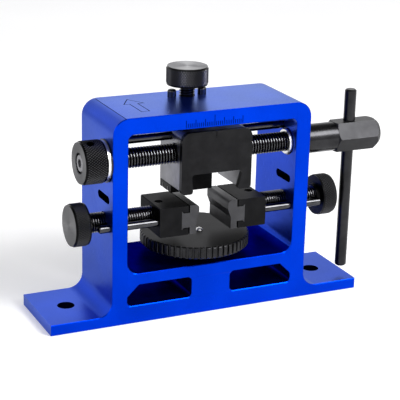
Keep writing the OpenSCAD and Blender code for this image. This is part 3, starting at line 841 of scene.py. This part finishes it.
def build_lead_knob(knurled, faced):
    """Knob on the lead screw's journal: recess for its cap screw, and a hole for a grub screw."""
    low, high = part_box("lead_knob")
    radius = (high.z - low.z) / 2
    recess_floor = low.x + 2.6 * MM
    knob = Turning(along_x(middle("lead_knob")), KNOB_COLUMNS)
    knob.finish = 1
    knob.outline([(4.0 * MM, high.x), (4.0 * MM, recess_floor), (5.0 * MM, recess_floor),
                  (5.0 * MM, low.x + 0.3 * MM), (5.3 * MM, low.x)])
    rim_start = len(knob.mesh.faces)
    knob.finish = 0
    knurled_rim(knob, low.x, high.x, radius)
    knob.outline([(4.0 * MM, high.x)])
    knob.mesh.faces.ensure_lookup_table()
    for face in knob.mesh.faces[rim_start:rim_start + KNOB_COLUMNS]:
        face.material_index = 1
    knob.mesh.faces.remove(knob.mesh.faces[0])
    knob.last = None
    piece = finished("lead_knob_knurled", knob.mesh, 25)
    centre = middle("lead_knob")
    grub = middle("lead_knob_grub")
    outward = Vector((0, grub.y - centre.y, grub.z - centre.z)).normalized()
    drilled(piece, 2.0 * MM, Vector((grub.x, centre.y, centre.z)) + outward * 4.2 * MM,
            Vector((grub.x, centre.y, centre.z)) + outward * 13 * MM)
    stands_for(piece, "lead_knob", "lead_screw", "knurled_black", knurled, faced)


def build_top_knob(knurled, faced):
    """Knob on the hold-down screw's top, faced on top and hollow below for the screw's end."""
    low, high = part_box("top_knob")
    radius = (high.x - low.x) / 2
    knob = Turning(along_z(middle("top_knob")), KNOB_COLUMNS)
    knob.finish = 1
    knob.outline([(radius - FACE_CHAMFER - 0.4 * MM, high.z)])
    knob.finish = 0
    knurled_rim(knob, high.z, low.z, radius)
    knob.outline([(4.0 * MM, low.z), (4.0 * MM, low.z + SOCKET_DEPTH)])
    piece = knob.done("top_knob_knurled", 25)
    stands_for(piece, "top_knob", "top_screw", "knurled_black", knurled, faced)


def build_height_disk(rim, faced):
    """Toothed wheel: broad rounded lands parted by narrow grooves, chamfered top and bottom."""
    low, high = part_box("height_disk")
    teeth = 56
    per_tooth = 14
    radius = (high.x - low.x) / 2
    groove_depth = 0.95 * MM
    groove_share = 0.17
    edge_share = 0.10
    chamfer = 0.8 * MM

    def land(angle):
        """Radius at an angle: a groove at each tooth pitch, with rounded shoulders."""
        across = (angle / (2 * math.pi) * teeth + 0.5) % 1.0 - 0.5
        out = (abs(across) - groove_share) / edge_share
        blend = min(max(out, 0.0), 1.0)
        rise = math.sqrt(1 - (1 - blend) ** 2)
        return radius - groove_depth * (1 - rise)

    def at(height, inset):
        return lambda angle: (min(land(angle), radius - inset), height)

    disk = Turning(along_z(middle("height_disk")), teeth * per_tooth)
    disk.finish = 0
    disk.outline([(6.0 * MM, low.z)])
    disk.ring(at(low.z, chamfer))
    disk.ring(at(low.z + chamfer, 0))
    disk.ring(at(high.z - chamfer, 0))
    disk.ring(at(high.z - chamfer * 0.45, chamfer * 0.25))
    disk.ring(at(high.z - chamfer * 0.1, chamfer * 0.75))
    disk.ring(at(high.z, chamfer * 1.2))
    disk.finish = 1
    disk.ring(at(high.z, chamfer * 1.2 + 0.4 * MM))
    disk.outline([(3.0 * MM, high.z), (3.0 * MM, low.z + 4 * MM), (6.0 * MM, low.z + 4 * MM),
                  (6.0 * MM, low.z)])
    disk.mesh.faces.ensure_lookup_table()
    disk.mesh.faces.remove(disk.mesh.faces[0])
    piece = finished("height_disk_toothed", disk.mesh, 35)
    stands_for(piece, "height_disk", "height_disk", "turned_black", rim, faced)


# ---- The whole scene ----

add_camera()
add_floor()
add_studio_world()
add_softbox("key", (0.41, -0.61, 0.68), 1.3, 0.6, 0.6, 16.0)
add_softbox("fill_left", (-0.9, -0.25, 0.45), 1.5, 0.8, 0.8, 2.4)
add_softbox("back", (0.45, 1.4, 0.5), 1.55, 0.75, 0.6, 0.45)

black_thread = steel("black_thread", grey(0.022), grey(0.036), 0.20, 0.30, 3000, 0.15)
matte_black = steel("matte_black", grey(0.012), grey(0.018), 0.38, 0.48, 4200, 0.35)
jaw_black = steel("jaw_black", grey(0.009), grey(0.013), 0.34, 0.44, 4200, 0.35, edge=0.6)
# The shoe is black steel, made darker still as painted shade in its recess behind the plate.
shoe_black_painted_shade = steel("shoe_black_painted_shade", grey(0.004), grey(0.007), 0.45, 0.55, 4200, 0.3)
hex_black = steel("hex_black", grey(0.022), grey(0.030), 0.34, 0.44, 4200, 0.25)
polished_black = steel("polished_black", grey(0.045), grey(0.065), 0.12, 0.18, 2500, 0.05)
black_oxide = steel("black_oxide", grey(0.022), grey(0.034), 0.26, 0.36, 3200, 0.20)
disk_black = steel("disk_black", grey(0.020), grey(0.034), 0.30, 0.42, 3200, 0.20)
ground_steel = steel("ground_steel", grey(0.20), grey(0.26), 0.34, 0.46, 3000, 0.3, (1, 1, 0.1))
pad_steel = steel("pad_steel", grey(0.045), grey(0.062), 0.34, 0.46, 3000, 0.3)
bright_steel = steel("bright_steel", grey(0.74, 1.0), grey(0.86, 1.0), 0.28, 0.38, 3000, 0.08)

NODE_FINISHES = {
    black_oxide: ["flange_bush", "right_bush", "lead_knob_grub", "tommy_bar",
                  "left_jaw_grub", "right_jaw_grub", "plate_screws", "shoe_screws",
                  "hold_down_plate", "thrust_washer"],
    matte_black: ["pusher_plate"],
    jaw_black: ["left_jaw", "right_jaw"],
    shoe_black_painted_shade: ["pusher_shoe"],
    ground_steel: ["pusher_body", "lead_knob_screw"],
    pad_steel: ["left_jaw_pad", "right_jaw_pad"],
    polished_black: ["upper_guide_rod", "left_guide_rod", "right_guide_rod",
                     "hold_down_pin_left", "hold_down_pin_right"],
    bright_steel: ["lead_washer", "stop_ring", "disk_key", "hold_down_clip"],
}
for finish, nodes in NODE_FINISHES.items():
    for node in nodes:
        paint(node, finish)

# The frame's second material is near-black blue painted as shade on the cut faces; its third is
# darker blue painted as shade on the sill and in the beam slots.
build_frame(blue_anodised(),
            steel("frame_cut_faces_shaded", (0.0, 0.001, 0.012), (0.0, 0.002, 0.022), 0.40, 0.50,
                  2600, 0.1, edge=0.1),
            steel("frame_painted_shade", (0.0, 0.009, 0.17), (0.0, 0.013, 0.24), 0.34, 0.44,
                  2600, 0.1, edge=0.2))
build_lead_screw(screw_shade_sheen_wear("lead_screw", *LEAD_THREAD), hex_black, black_thread)
build_top_screw(black_oxide)
build_height_stud(black_thread)
for side in ("left", "right"):
    build_thumbscrew(side, screw_shade_sheen_wear(side + "_thumbscrew", *THUMB_THREAD))
    node = side + "_thumb_knob"
    faced = turned_steel(side + "_knob_face", middle(node), "X",
                         grey(0.068), grey(0.092), 0.32, 0.42)
    build_thumb_knob(side, knurled_black(node, "X"), faced)
build_lead_knob(knurled_black("lead_knob", "X"),
                turned_steel("lead_knob_face", middle("lead_knob"), "X",
                             grey(0.062), grey(0.082), 0.32, 0.42))
build_top_knob(knurled_black("top_knob", "Z"),
               turned_steel("top_knob_face", middle("top_knob"), "Z",
                            grey(0.115), grey(0.155), 0.26, 0.36))
build_height_disk(disk_black, steel("disk_face", grey(0.014), grey(0.022), 0.34, 0.42, 3200, 0.15,
                                    edge=0.65))

bpy.context.scene.view_settings.view_transform = "Standard"
